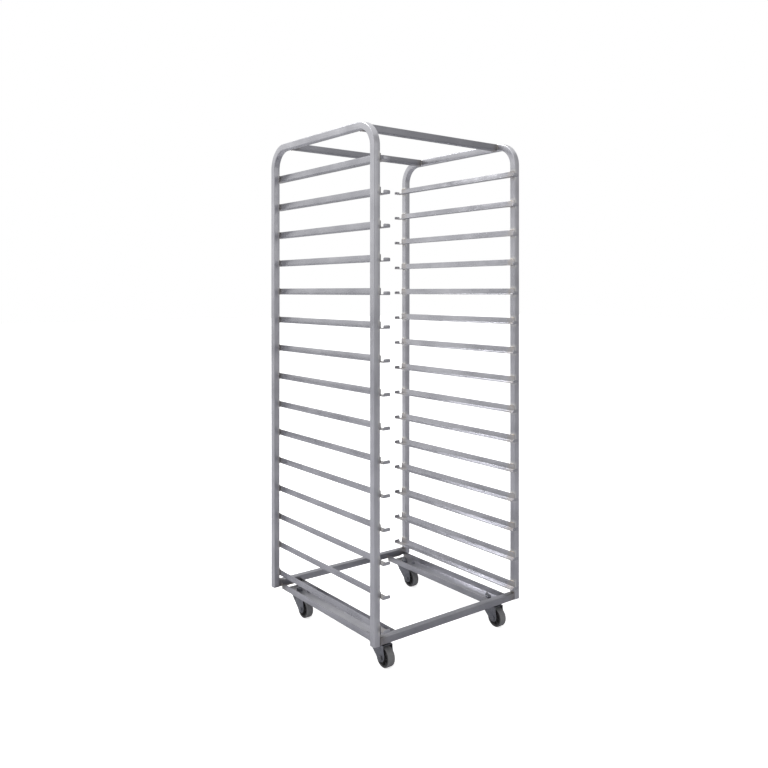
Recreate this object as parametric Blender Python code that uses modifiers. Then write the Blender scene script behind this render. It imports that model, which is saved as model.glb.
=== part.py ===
"""Sheet pan rack: a stainless trolley with two bent tube side frames, fifteen pairs of angle
runners, four cross bars, two base channels and four swivelling casters.

Metres, +Z up.  The floor is z = 0, the origin is the middle of the plan, trays go in from -Y.
"""
import math

import bmesh
import bpy
from mathutils import Matrix

# Clearance kept between pieces that touch on the real rack.
JOINT_GAP = 0.0003

# Side frames and cross bars, all of one square tube.
FRAME_WIDTH = 0.683
FRAME_DEPTH = 0.675
TUBE = 0.025
TUBE_WALL = 0.0015
TUBE_CORNER = 0.003
BEND_RADIUS = 0.078
FRONT_TOP_BAR_PAST_BEND = 0.0005
REAR_TOP_BAR_PAST_BEND = 0.0175

# Runners: an angle with its leg against the uprights and its flange turned inwards.
LEVELS = 15
LEVEL_PITCH = 0.110
FIRST_LEVEL_ABOVE_BASE = 0.0305
HEADROOM = 0.1255
RUNNER_SHEET = 0.002
RUNNER_LEG = 0.023
RUNNER_FLANGE = 0.027
RUNNER_OVERHANG = 0.0175
RUNNER_STOP = 0.012
RUNNER_BEND = 0.003

# Base channels, open upwards, that carry the casters.
RAIL_WIDTH = 0.088
RAIL_HEIGHT = 0.0245
RAIL_SHEET = 0.0025
RAIL_BEND = 0.004
RAIL_INSET = 0.0095
RAIL_DROP = 0.0115

# Casters.
WHEEL_DIAMETER = 0.070
TREAD_WIDTH = 0.028
TREAD_ROUND = 0.004
RIM_WIDTH = 0.009
HUB_DIAMETER = 0.026
HUB_WIDTH = 0.035
WEB_WIDTH = 0.012
WEB_SLOPE = 0.002
AXLE_DIAMETER = 0.010
CASTER_TRAIL = 0.044
CASTER_FROM_END = 0.085
FORK_SHEET = 0.0025
FORK_SIDE_PLAY = 0.0005
FORK_BOSS = 0.028
FORK_BACK = 0.018
FORK_FRONT = 0.056
FORK_LAP = 0.0005
BOSS_FROM = -35
BOSS_TO = -170
CROWN_CLEARANCE = 0.005
CROWN_SHEET = 0.003
CROWN_DIAMETER = 0.060
RACE_DIAMETER = 0.054
RACE_HEIGHT = 0.0044
PLATE_LENGTH = 0.080
PLATE_WIDTH = 0.066
PLATE_SHEET = 0.003
PLATE_CORNER = 0.006
KING_DIAMETER = 0.012
KING_HEAD_WIDTH = 0.019
KING_HEAD_HEIGHT = 0.006
KING_NUT_HEIGHT = 0.0096
THREAD_PAST_NUT = 0.003
AXLE_HEAD_WIDTH = 0.017
AXLE_HEAD_HEIGHT = 0.0055

# How finely curves are faceted, how close points are welded, and how long the cutter of a
# hole is in thicknesses of what it cuts.
BEND_STEPS = 10
CORNER_STEPS = 3
BOSS_STEPS = 10
ROUND_FACETS = 32
BOLT_FACETS = 24
WHEEL_FACETS = 36
WELD_DISTANCE = 0.00001
SHARP_DEGREES = 35
CUT_THROUGH = 4

# Places worked out from the sizes above.
AXLE_Z = WHEEL_DIAMETER / 2
CROWN_Z = WHEEL_DIAMETER + CROWN_CLEARANCE
RACE_Z = CROWN_Z + CROWN_SHEET + JOINT_GAP
PLATE_Z = RACE_Z + RACE_HEIGHT
RAIL_Z = PLATE_Z + PLATE_SHEET + JOINT_GAP
BASE_Z = RAIL_Z + RAIL_DROP
UPRIGHT_X = (FRAME_WIDTH - TUBE) / 2
UPRIGHT_Y = (FRAME_DEPTH - TUBE) / 2
INNER_X = FRAME_WIDTH / 2 - TUBE
INNER_Y = FRAME_DEPTH / 2 - TUBE
LOWEST_LEVEL_Z = BASE_Z + TUBE + FIRST_LEVEL_ABOVE_BASE
RACK_HEIGHT = LOWEST_LEVEL_Z + (LEVELS - 1) * LEVEL_PITCH + HEADROOM
RAIL_X = INNER_X - RAIL_INSET - RAIL_WIDTH / 2
CASTER_Y = FRAME_DEPTH / 2 - CASTER_FROM_END
FORK_INSIDE = HUB_WIDTH / 2 + FORK_SIDE_PLAY
FORK_OUTSIDE = FORK_INSIDE + FORK_SHEET

# Each material's colour, roughness and metallic value.
STEEL = ((0.60, 0.60, 0.62), 0.38, 1.0)
ZINC = ((0.47, 0.48, 0.51), 0.45, 1.0)
DARK_RESIN = ((0.035, 0.035, 0.038), 0.5, 0.0)


# ---- scene, materials and small helpers

def clear_scene():
    for thing in list(bpy.data.objects):
        bpy.data.objects.remove(thing, do_unlink=True)


def new_collection(name):
    collection = bpy.data.collections.new(name)
    bpy.context.scene.collection.children.link(collection)
    return collection


def new_material(name, look):
    colour, roughness, metallic = look
    material = bpy.data.materials.new(name)
    material.use_nodes = True
    shader = material.node_tree.nodes["Principled BSDF"]
    shader.inputs["Base Color"].default_value = (*colour, 1)
    shader.inputs["Roughness"].default_value = roughness
    shader.inputs["Metallic"].default_value = metallic
    return material


def arc(centre, radius, start, end, steps):
    """Points on a circle from start to end degrees, both ends included."""
    points = []
    for i in range(steps + 1):
        angle = math.radians(start + (end - start) * i / steps)
        points.append((centre[0] + radius * math.cos(angle), centre[1] + radius * math.sin(angle)))
    return points


def rounded_rectangle(width, height, radius, steps=CORNER_STEPS):
    right = width / 2 - radius
    top = height / 2 - radius
    corners = [((right, top), 0), ((-right, top), 90), ((-right, -top), 180), ((right, -top), 270)]
    points = []
    for centre, start in corners:
        points += arc(centre, radius, start, start + 90, steps)
    return points


def outline_curve(name, outlines, half_thickness):
    """A flat filled outline, thickened both ways along its own Z.  Inner outlines are holes."""
    data = bpy.data.curves.new(name, "CURVE")
    data.dimensions = "2D"
    data.fill_mode = "BOTH"
    data.extrude = half_thickness
    for outline in outlines:
        spline = data.splines.new("POLY")
        spline.points.add(len(outline) - 1)
        for point, (x, y) in zip(spline.points, outline):
            point.co = (x, y, 0, 1)
        spline.use_cyclic_u = True
    return bpy.data.objects.new(name, data)


def solid_from(source, collection):
    """The evaluated shape of an object as a welded mesh.  The object itself is removed."""
    collection.objects.link(source)
    bpy.context.view_layer.update()
    evaluated = source.evaluated_get(bpy.context.evaluated_depsgraph_get())
    mesh = bpy.data.meshes.new_from_object(evaluated)
    mesh.name = source.name
    mesh.transform(source.matrix_world)
    bpy.data.objects.remove(source, do_unlink=True)
    shape = bmesh.new()
    shape.from_mesh(mesh)
    bmesh.ops.remove_doubles(shape, verts=shape.verts, dist=WELD_DISTANCE)
    bmesh.ops.recalc_face_normals(shape, faces=shape.faces)
    shape.to_mesh(mesh)
    shape.free()
    return mesh


def extruded(name, outlines, length, turn, place, collection):
    """A solid of one section: the section's Z is laid along a new axis by turn, then placed."""
    curve = outline_curve(name, outlines, length / 2)
    curve.matrix_world = Matrix.Translation(place) @ turn
    return solid_from(curve, collection)


def cylinder(name, radius, depth, place, segments=ROUND_FACETS, turn=Matrix.Identity(4)):
    mesh = bpy.data.meshes.new(name)
    shape = bmesh.new()
    bmesh.ops.create_cone(shape, cap_ends=True, segments=segments, radius1=radius, radius2=radius,
                          depth=depth, matrix=Matrix.Translation(place) @ turn)
    shape.to_mesh(mesh)
    shape.free()
    return mesh


def hexagon(name, across_flats, height, place, turn=Matrix.Identity(4)):
    return cylinder(name, across_flats / 2 / math.cos(math.radians(30)), height, place, 6, turn)


def combine(name, base, joined, cut, collection):
    """One mesh: base plus the joined meshes, less the cut ones."""
    target = bpy.data.objects.new(name, base)
    helpers = []
    for operation, meshes in (("UNION", joined), ("DIFFERENCE", cut)):
        for mesh in meshes:
            helper = bpy.data.objects.new(mesh.name + "_cutter", mesh)
            helper.hide_render = True
            helper.display_type = "WIRE"
            collection.objects.link(helper)
            helpers.append(helper)
            boolean = target.modifiers.new(operation.lower(), "BOOLEAN")
            boolean.operation = operation
            boolean.object = helper
    mesh = solid_from(target, collection)
    for helper in helpers:
        bpy.data.objects.remove(helper, do_unlink=True)
    return mesh


def place(name, mesh, material, collection, location=(0, 0, 0), parent=None):
    piece = bpy.data.objects.new(name, mesh)
    if not mesh.materials:
        mesh.materials.append(material)
    collection.objects.link(piece)
    piece.location = location
    piece.parent = parent
    return piece


def axis_empty(name, location, collection, parent=None):
    empty = bpy.data.objects.new(name, None)
    empty.location = location
    empty.parent = parent
    collection.objects.link(empty)
    return empty


def shade_round(mesh):
    mesh.shade_smooth()
    mesh.set_sharp_from_angle(angle=math.radians(SHARP_DEGREES))


# A section drawn in X and Y, laid so that its length runs along X or along Y, with its own
# Y upright in both.
ALONG_X = Matrix(((0, 0, 1, 0), (1, 0, 0, 0), (0, 1, 0, 0), (0, 0, 0, 1)))
ALONG_Y = Matrix(((1, 0, 0, 0), (0, 0, -1, 0), (0, 1, 0, 0), (0, 0, 0, 1)))
# A turned piece drawn upright, laid over so that its axis runs along X.
LYING_ALONG_X = Matrix.Rotation(math.radians(90), 4, "Y")


# ---- side frames: one square tube each, bent over at both top corners

def frame_path():
    """The tube's centre line in the frame's own plane: Y across, Z up."""
    top = RACK_HEIGHT - TUBE / 2
    bend_y = UPRIGHT_Y - BEND_RADIUS
    bend_z = top - BEND_RADIUS
    points = [(-UPRIGHT_Y, BASE_Z)]
    points += arc((-bend_y, bend_z), BEND_RADIUS, 180, 90, BEND_STEPS)
    points += arc((bend_y, bend_z), BEND_RADIUS, 90, 0, BEND_STEPS)
    points.append((UPRIGHT_Y, BASE_Z))
    return points


def side_frame_mesh(work):
    """The swept skin of the tube, open at both feet, thickened inwards by the wall."""
    section = bpy.data.objects.new("tube_section", bpy.data.curves.new("tube_section", "CURVE"))
    outline = section.data.splines.new("POLY")
    corners = rounded_rectangle(TUBE, TUBE, TUBE_CORNER)
    outline.points.add(len(corners) - 1)
    for point, (x, y) in zip(outline.points, corners):
        point.co = (x, y, 0, 1)
    outline.use_cyclic_u = True
    work.objects.link(section)

    data = bpy.data.curves.new("side_frame", "CURVE")
    data.dimensions = "2D"
    data.bevel_mode = "OBJECT"
    data.bevel_object = section
    spline = data.splines.new("POLY")
    path = frame_path()
    spline.points.add(len(path) - 1)
    for point, (y, z) in zip(spline.points, path):
        point.co = (y, z, 0, 1)
    sweep = bpy.data.objects.new("side_frame", data)
    sweep.matrix_world = ALONG_X
    skin = solid_from(sweep, work)
    bpy.data.objects.remove(section, do_unlink=True)

    shell = bpy.data.objects.new("side_frame", skin)
    wall = shell.modifiers.new("wall", "SOLIDIFY")
    wall.thickness = TUBE_WALL
    wall.offset = -1
    wall.use_even_offset = True
    mesh = solid_from(shell, work)
    shade_round(mesh)
    return mesh


def add_side_frames(rack, work, steel):
    mesh = side_frame_mesh(work)
    place("left_side_frame", mesh, steel, rack, (-UPRIGHT_X, 0, 0))
    place("right_side_frame", mesh, steel, rack, (UPRIGHT_X, 0, 0))


# ---- cross bars: the same tube, cut square, welded between the side frames

def add_cross_bars(rack, work, steel):
    outer = rounded_rectangle(TUBE, TUBE, TUBE_CORNER)
    bore = rounded_rectangle(TUBE - 2 * TUBE_WALL, TUBE - 2 * TUBE_WALL, TUBE_CORNER - TUBE_WALL)
    length = 2 * (INNER_X - JOINT_GAP)
    mesh = extruded("cross_bar", [outer, bore], length, ALONG_X, (0, 0, 0), work)
    shade_round(mesh)
    top_z = RACK_HEIGHT - TUBE / 2
    base_z = BASE_Z + TUBE / 2
    past_bend = BEND_RADIUS + TUBE / 2
    front_y = past_bend + FRONT_TOP_BAR_PAST_BEND - UPRIGHT_Y
    rear_y = UPRIGHT_Y - past_bend - REAR_TOP_BAR_PAST_BEND
    place("front_top_bar", mesh, steel, rack, (0, front_y, top_z))
    place("rear_top_bar", mesh, steel, rack, (0, rear_y, top_z))
    place("front_base_bar", mesh, steel, rack, (0, -UPRIGHT_Y, base_z))
    place("rear_base_bar", mesh, steel, rack, (0, UPRIGHT_Y, base_z))


# ---- runners: folded sheet, with the ends of the flange turned up as tray stops

def runner_rungs():
    """Side view of the flange, Y across and Z up: pairs of points, underside and top side."""
    half = FRAME_DEPTH / 2 + RUNNER_OVERHANG
    leg_half = FRAME_DEPTH / 2
    centre = (half - RUNNER_BEND, RUNNER_BEND)
    under = arc(centre, RUNNER_BEND, -90, 0, CORNER_STEPS)
    upper = arc(centre, RUNNER_BEND - RUNNER_SHEET, -90, 0, CORNER_STEPS)
    right = [((leg_half, 0), (leg_half, RUNNER_SHEET))]
    right += list(zip(under, upper))
    right.append(((half, RUNNER_STOP), (half - RUNNER_SHEET, RUNNER_STOP)))
    left = [((-y_under, z_under), (-y_upper, z_upper))
            for (y_under, z_under), (y_upper, z_upper) in reversed(right)]
    return left + right


def runner_mesh(side):
    """One runner: x = 0 is the leg's outer face, z = 0 the underside of the flange.

    side is -1 for the left runner, whose flange points to +X, and 1 for the right one.
    """
    rungs = runner_rungs()
    shape = bmesh.new()
    sections = []
    for x in (0, RUNNER_SHEET, RUNNER_FLANGE):
        sections.append([[shape.verts.new((-side * x, y, z)) for y, z in rung] for rung in rungs])
    outer, fold, inner = sections
    middle = len(rungs) // 2 - 1
    for i in range(len(rungs) - 1):
        for cap in (outer, inner):
            shape.faces.new((cap[i][0], cap[i + 1][0], cap[i + 1][1], cap[i][1]))
        for low, high in ((outer, fold), (fold, inner)):
            for skin in (0, 1):
                face = shape.faces.new((low[i][skin], low[i + 1][skin],
                                        high[i + 1][skin], high[i][skin]))
                if i == middle and low is outer:
                    leg_root = face
    for low, high in ((outer, fold), (fold, inner)):
        for end in (0, -1):
            shape.faces.new((low[end][0], low[end][1], high[end][1], high[end][0]))
    leg = bmesh.ops.extrude_discrete_faces(shape, faces=[leg_root])["faces"][0]
    bmesh.ops.translate(shape, verts=leg.verts, vec=(0, 0, RUNNER_LEG - RUNNER_SHEET))
    bmesh.ops.recalc_face_normals(shape, faces=shape.faces)
    mesh = bpy.data.meshes.new("left_runner" if side < 0 else "right_runner")
    shape.to_mesh(mesh)
    shape.free()
    return mesh


def add_runners(rack, steel):
    for side, word in ((-1, "left"), (1, "right")):
        mesh = runner_mesh(side)
        for level in range(1, LEVELS + 1):
            z = LOWEST_LEVEL_Z + (LEVELS - level) * LEVEL_PITCH - RUNNER_LEG / 2
            place(f"{word}_runner_{level:02d}", mesh, steel, rack, (side * (INNER_X - JOINT_GAP), 0, z))


# ---- base channels

def channel_outline():
    """An upright U: the outside of the fold first, then back along its inside."""
    side = RAIL_WIDTH / 2
    inner_bend = RAIL_BEND - RAIL_SHEET
    outside = [(side, RAIL_HEIGHT)]
    outside += arc((side - RAIL_BEND, RAIL_BEND), RAIL_BEND, 0, -90, CORNER_STEPS)
    outside += arc((RAIL_BEND - side, RAIL_BEND), RAIL_BEND, -90, -180, CORNER_STEPS)
    outside.append((-side, RAIL_HEIGHT))
    inside = [(RAIL_SHEET - side, RAIL_HEIGHT)]
    inside += arc((RAIL_BEND - side, RAIL_BEND), inner_bend, -180, -90, CORNER_STEPS)
    inside += arc((side - RAIL_BEND, RAIL_BEND), inner_bend, -90, 0, CORNER_STEPS)
    inside.append((side - RAIL_SHEET, RAIL_HEIGHT))
    return outside + inside


def add_base_rails(rack, work, steel):
    length = 2 * (INNER_Y - JOINT_GAP)
    channel = extruded("base_rail", [channel_outline()], length, ALONG_Y, (0, 0, 0), work)
    hole = KING_DIAMETER / 2 + JOINT_GAP
    holes = [cylinder("king_hole", hole, CUT_THROUGH * RAIL_SHEET, (0, y, RAIL_SHEET / 2))
             for y in (-CASTER_Y, CASTER_Y)]
    mesh = combine("base_rail", channel, [], holes, work)
    place("left_base_rail", mesh, steel, rack, (-RAIL_X, 0, RAIL_Z))
    place("right_base_rail", mesh, steel, rack, (RAIL_X, 0, RAIL_Z))


# ---- casters: each mesh is drawn about the swivel axis, with z = 0 on the floor

def plate_mesh(work):
    outline = rounded_rectangle(PLATE_WIDTH, PLATE_LENGTH, PLATE_CORNER)
    plate = extruded("caster_plate", [outline], PLATE_SHEET, Matrix.Identity(4),
                     (0, 0, PLATE_Z + PLATE_SHEET / 2), work)
    race_top = PLATE_Z + PLATE_SHEET / 2
    race = cylinder("race", RACE_DIAMETER / 2, race_top - RACE_Z, (0, 0, (race_top + RACE_Z) / 2))
    hole = cylinder("king_hole", KING_DIAMETER / 2 + JOINT_GAP, CUT_THROUGH * RACE_HEIGHT,
                    (0, 0, PLATE_Z))
    return combine("caster_plate", plate, [race], [hole], work)


def fork_leg_outline():
    """Side view of a fork leg, Y across and Z up: wide at the crown, round at the axle."""
    top = CROWN_Z + CROWN_SHEET / 2
    upper = [(FORK_BACK, top), (FORK_BACK, CROWN_Z - FORK_BOSS / 2)]
    boss = arc((-CASTER_TRAIL, AXLE_Z), FORK_BOSS / 2, BOSS_FROM, BOSS_TO, BOSS_STEPS)
    return upper + boss + [(-FORK_FRONT, CROWN_Z), (-FORK_FRONT, top)]


def fork_mesh(work):
    leg_outline = fork_leg_outline()
    leg_middle = FORK_INSIDE + FORK_SHEET / 2
    legs = [extruded("fork_leg", [leg_outline], FORK_SHEET, ALONG_X, (x, 0, 0), work)
            for x in (-leg_middle, leg_middle)]
    rise = CROWN_Z + CROWN_SHEET / 2
    outline = rounded_rectangle(2 * (FORK_OUTSIDE + FORK_LAP),
                                FORK_FRONT + FORK_BACK + 2 * FORK_LAP, FORK_SHEET)
    bridge = extruded("fork_bridge", [outline], CROWN_SHEET, Matrix.Identity(4),
                      (0, (FORK_BACK - FORK_FRONT) / 2, rise), work)
    crown = cylinder("fork_crown", CROWN_DIAMETER / 2, CROWN_SHEET - FORK_LAP, (0, 0, rise))
    king = cylinder("king_hole", KING_DIAMETER / 2 + JOINT_GAP, CUT_THROUGH * CROWN_SHEET,
                    (0, 0, rise))
    axle = cylinder("axle_hole", AXLE_DIAMETER / 2 + JOINT_GAP, CUT_THROUGH * FORK_OUTSIDE,
                    (0, -CASTER_TRAIL, AXLE_Z), BOLT_FACETS, LYING_ALONG_X)
    return combine("caster_fork", bridge, [crown] + legs, [king, axle], work)


def king_bolt_mesh(work):
    """Head under the crown, shank through crown, plate and channel, nut inside the channel."""
    head_top = CROWN_Z - JOINT_GAP
    nut_low = RAIL_Z + RAIL_SHEET + JOINT_GAP
    thread_end = nut_low + KING_NUT_HEIGHT + THREAD_PAST_NUT
    head_middle = head_top - KING_HEAD_HEIGHT / 2
    shank = cylinder("king_shank", KING_DIAMETER / 2, thread_end - head_middle,
                     (0, 0, (thread_end + head_middle) / 2), BOLT_FACETS)
    head = hexagon("king_head", KING_HEAD_WIDTH, KING_HEAD_HEIGHT, (0, 0, head_middle))
    nut = hexagon("king_nut", KING_HEAD_WIDTH, KING_NUT_HEIGHT,
                  (0, 0, nut_low + KING_NUT_HEIGHT / 2))
    return combine("king_bolt", shank, [head, nut], [], work)


def axle_mesh(work):
    """A bolt and its nut across the fork, drawn about the middle of the axle."""
    face = FORK_OUTSIDE + JOINT_GAP
    middle = face + AXLE_HEAD_HEIGHT / 2
    shank = cylinder("axle_shank", AXLE_DIAMETER / 2, 2 * middle, (0, 0, 0), BOLT_FACETS,
                     LYING_ALONG_X)
    ends = [hexagon("axle_end", AXLE_HEAD_WIDTH, AXLE_HEAD_HEIGHT, (x, 0, 0), LYING_ALONG_X)
            for x in (-middle, middle)]
    return combine("axle_bolt", shank, ends, [], work)


def wheel_profile():
    """Half section of the wheel as (radius, height), from the bore's top round the outside."""
    bore = AXLE_DIAMETER / 2 + JOINT_GAP
    hub = HUB_DIAMETER / 2
    tread = WHEEL_DIAMETER / 2
    rim = tread - RIM_WIDTH
    half = TREAD_WIDTH / 2
    upper = [(bore, HUB_WIDTH / 2), (hub, HUB_WIDTH / 2), (hub + WEB_SLOPE, WEB_WIDTH / 2),
             (rim - WEB_SLOPE, WEB_WIDTH / 2), (rim, half)]
    shoulder = arc((tread - TREAD_ROUND, half - TREAD_ROUND), TREAD_ROUND, 90, 0, CORNER_STEPS)
    lower = [(radius, -height) for radius, height in reversed(upper + shoulder)]
    return upper + shoulder + lower


def wheel_mesh(work):
    profile = wheel_profile()
    mesh = bpy.data.meshes.new("wheel_profile")
    points = [(radius, 0, height) for radius, height in profile]
    edges = [(i, (i + 1) % len(points)) for i in range(len(points))]
    mesh.from_pydata(points, edges, [])
    turned = bpy.data.objects.new("wheel", mesh)
    screw = turned.modifiers.new("turned", "SCREW")
    screw.axis = "Z"
    screw.steps = WHEEL_FACETS
    screw.render_steps = WHEEL_FACETS
    screw.use_merge_vertices = True
    screw.merge_threshold = WELD_DISTANCE
    turned.matrix_world = LYING_ALONG_X
    solid = solid_from(turned, work)
    shade_round(solid)
    return solid


def add_casters(rack, work, zinc, resin):
    plate = plate_mesh(work)
    fork = fork_mesh(work)
    king_bolt = king_bolt_mesh(work)
    axle = axle_mesh(work)
    wheel = wheel_mesh(work)
    for end, y in (("front", -CASTER_Y), ("rear", CASTER_Y)):
        for side, x in (("left", -RAIL_X), ("right", RAIL_X)):
            word = f"{end}_{side}"
            swivel = axis_empty(f"{word}_swivel_axis", (x, y, 0), rack)
            spin = axis_empty(f"{word}_wheel_axis", (0, -CASTER_TRAIL, AXLE_Z), rack, swivel)
            place(f"{word}_caster_plate", plate, zinc, rack, (x, y, 0))
            place(f"{word}_king_bolt", king_bolt, zinc, rack, (x, y, 0))
            place(f"{word}_caster_fork", fork, zinc, rack, parent=swivel)
            place(f"{word}_axle_bolt", axle, zinc, rack, parent=spin)
            place(f"{word}_wheel", wheel, resin, rack, parent=spin)


def build():
    clear_scene()
    rack = new_collection("sheet_pan_rack")
    work = new_collection("cutters")
    steel = new_material("brushed_stainless", STEEL)
    zinc = new_material("zinc_plated_steel", ZINC)
    resin = new_material("dark_resin", DARK_RESIN)
    add_side_frames(rack, work, steel)
    add_cross_bars(rack, work, steel)
    add_runners(rack, steel)
    add_base_rails(rack, work, steel)
    add_casters(rack, work, zinc, resin)


build()
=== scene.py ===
# %% [markdown]
# # Sheet pan rack
#
# A bakery rack on casters: two side frames of bent square tube, fifteen pairs of folded
# runners for the pans, cross bars at the top and the foot, and two open channels that carry
# the casters. Its measured model is loaded first and never changes. Everything below gives
# that model its finished surfaces: finely bent tube, folded sheet with soft edges, weld
# beads, bolts, pressed forks and moulded wheels.

# %% Load the measured model
import math
import random

import bmesh
import bpy
from mathutils import Matrix, Vector


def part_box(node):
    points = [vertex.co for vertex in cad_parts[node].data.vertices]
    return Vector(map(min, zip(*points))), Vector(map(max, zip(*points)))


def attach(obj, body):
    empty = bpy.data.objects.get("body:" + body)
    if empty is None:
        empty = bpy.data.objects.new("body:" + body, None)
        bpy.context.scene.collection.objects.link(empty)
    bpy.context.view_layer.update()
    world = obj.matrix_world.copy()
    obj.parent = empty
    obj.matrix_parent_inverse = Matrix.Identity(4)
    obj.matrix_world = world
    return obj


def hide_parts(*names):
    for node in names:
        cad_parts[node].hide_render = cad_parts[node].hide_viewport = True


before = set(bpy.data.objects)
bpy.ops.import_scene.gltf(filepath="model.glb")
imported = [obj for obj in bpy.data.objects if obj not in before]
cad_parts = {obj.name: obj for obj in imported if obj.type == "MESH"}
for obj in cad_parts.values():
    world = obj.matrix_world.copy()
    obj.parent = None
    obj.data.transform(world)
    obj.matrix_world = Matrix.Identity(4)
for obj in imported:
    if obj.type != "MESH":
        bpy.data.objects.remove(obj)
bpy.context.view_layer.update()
MM = 0.001

# %% [markdown]
# ## Where the rack's pieces are
#
# Each size below is read from the measured model, so the finished pieces land exactly on it.
# The corner radii, the wall and the sheet thickness can't be read from a box, so they are
# written down here once.

# %% Places and sizes
frame_low, frame_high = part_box("left_side_frame")
right_low, right_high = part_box("right_side_frame")
TUBE = frame_high.x - frame_low.x
WALL = 1.5 * MM
TUBE_CORNER = 3 * MM
BEND_RADIUS = 78 * MM
UPRIGHT_X = (right_low.x + right_high.x) / 2
UPRIGHT_Y = frame_high.y - TUBE / 2
INNER_X = right_low.x
FOOT_Z = frame_low.z
TOP_Z = frame_high.z
LEVELS = 15
SIDES = {"left": -1, "right": 1}
ENDS = {"front": -1, "rear": 1}
print("tube", round(TUBE, 4), "uprights at", round(UPRIGHT_X, 4), round(UPRIGHT_Y, 4))

# %% [markdown]
# ## A camera at standing chest height
#
# The rack is seen from its front left corner, about three metres away, by a level camera.
# A level camera keeps every upright parallel in the picture, and a small vertical shift
# frames the whole rack without tilting it.

# %% Camera
camera_data = bpy.data.cameras.new("camera")
camera_data.lens = 36.81
camera_data.sensor_width = 36
camera_data.shift_y = -0.1204
camera = bpy.data.objects.new("camera", camera_data)
camera.location = (-1.8649, -2.3741, 1.253)
camera.rotation_euler = (math.radians(90), 0, math.radians(-37.51))
bpy.context.scene.collection.objects.link(camera)
bpy.context.scene.camera = camera
print("camera", round(camera.location.length, 3), "m from the rack's foot")

# %% [markdown]
# ## Shader sums as plain Python
#
# A finish is mostly arithmetic on patterns. Linking Math nodes by hand is slow to read, so one
# small class wraps a socket and lets +, -, * and / build those nodes. Everything else comes
# from one method that takes a node's type, its settings and its inputs.


# %% Socket arithmetic
class Sock:
    """A shader socket that Python sums can be written with."""

    def __init__(self, finish, socket):
        self.finish = finish
        self.socket = socket

    def sum_with(self, operation, other, flipped=False):
        pair = (other, self) if flipped else (self, other)
        return self.finish.node("ShaderNodeMath", {"operation": operation},
                                {0: pair[0], 1: pair[1]})

    def __add__(self, other):
        return self.sum_with("ADD", other)

    def __sub__(self, other):
        return self.sum_with("SUBTRACT", other)

    def __rsub__(self, other):
        return self.sum_with("SUBTRACT", other, True)

    def __mul__(self, other):
        return self.sum_with("MULTIPLY", other)

    def __truediv__(self, other):
        return self.sum_with("DIVIDE", other)

    def __abs__(self):
        return self.sum_with("ABSOLUTE", 0.0)

    __radd__ = __add__
    __rmul__ = __mul__


class Finish:
    """One material: its Principled shader, its object coordinates and its nodes."""

    def __init__(self, name, roughness=0.4, metallic=1.0):
        self.material = bpy.data.materials.new(name)
        self.material.use_nodes = True
        self.nodes = self.material.node_tree.nodes
        self.links = self.material.node_tree.links
        self.shader = self.nodes["Principled BSDF"]
        self.shader.inputs["Roughness"].default_value = roughness
        self.shader.inputs["Metallic"].default_value = metallic
        self.place = self.node("ShaderNodeTexCoord", {}, {}, "Object")

    def node(self, kind, settings, inputs, output=0):
        made = self.nodes.new(kind)
        for key, value in settings.items():
            setattr(made, key, value)
        for key, value in inputs.items():
            if isinstance(value, Sock):
                self.links.new(value.socket, made.inputs[key])
            else:
                made.inputs[key].default_value = value
        return Sock(self, made.outputs[output])

    def axis(self, letter):
        return self.node("ShaderNodeSeparateXYZ", {}, {0: self.place}, letter)

    def stretched(self, scales):
        return self.node("ShaderNodeVectorMath", {"operation": "MULTIPLY"},
                         {0: self.place, 1: scales})

    def noise(self, scale, detail=3.0, rough=0.5, where=None):
        return self.node("ShaderNodeTexNoise", {},
                         {"Vector": where or self.place, "Scale": scale, "Detail": detail,
                          "Roughness": rough}, "Fac")

    def ramp(self, value, low, high, to_low=0.0, to_high=1.0):
        """value from low..high onto to_low..to_high, eased and clamped."""
        return self.node("ShaderNodeMapRange", {"interpolation_type": "SMOOTHSTEP"},
                         {0: value, 1: low, 2: high, 3: to_low, 4: to_high})

    def blend(self, factor, first, second):
        settings = {"data_type": "RGBA"}
        return self.node("ShaderNodeMix", settings, {0: factor, 6: first, 7: second}, 2)

    def bump(self, height, distance, strength=1.0, under=None):
        inputs = {"Height": height, "Distance": distance, "Strength": strength}
        if under:
            inputs["Normal"] = under
        return self.node("ShaderNodeBump", {}, inputs)

    def feed(self, **sockets):
        for name, value in sockets.items():
            self.links.new(value.socket, self.shader.inputs[name.replace("_", " ")])
        return self.material


def colour(red, green, blue):
    return (red, green, blue, 1.0)


print("shader helpers ready")

# %% [markdown]
# ## Brushed stainless steel
#
# Rack tube is sold with a belt-ground finish: fine lines that run along the tube. The lines
# are a noise that is stretched hard along the piece, and they drive the roughness, a very
# shallow bump and a trace of the colour. On top come slow waves from rolling, smears from
# hands and cloths, and a few scratches from pans. Near the welds the steel is ground again
# and keeps a little straw colour from the heat. The bars, runners and channels also carry
# painted shade: a darker grey over the whole piece, and a dark blue-grey at the ends where
# bars and channels meet other parts.

# %% Steel finishes
STEEL_LIGHT = colour(0.69, 0.69, 0.725)
STEEL_DARK = colour(0.47, 0.47, 0.505)
HEAT_STRAW = colour(0.47, 0.40, 0.30)
BAKED_BROWN = colour(0.20, 0.15, 0.115)
PAINTED_CORNER_SHADE_TONE = colour(0.085, 0.085, 0.10)
PAINTED_SHADE_TONE = colour(0.23, 0.23, 0.26)
STEEL_GROUND = colour(0.88, 0.88, 0.88)
GRAIN_FINE = 1500.0
GRAIN_LONG = 12.0


def grain_scales(direction):
    return tuple(GRAIN_LONG if letter == direction else GRAIN_FINE for letter in "XYZ")


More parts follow.
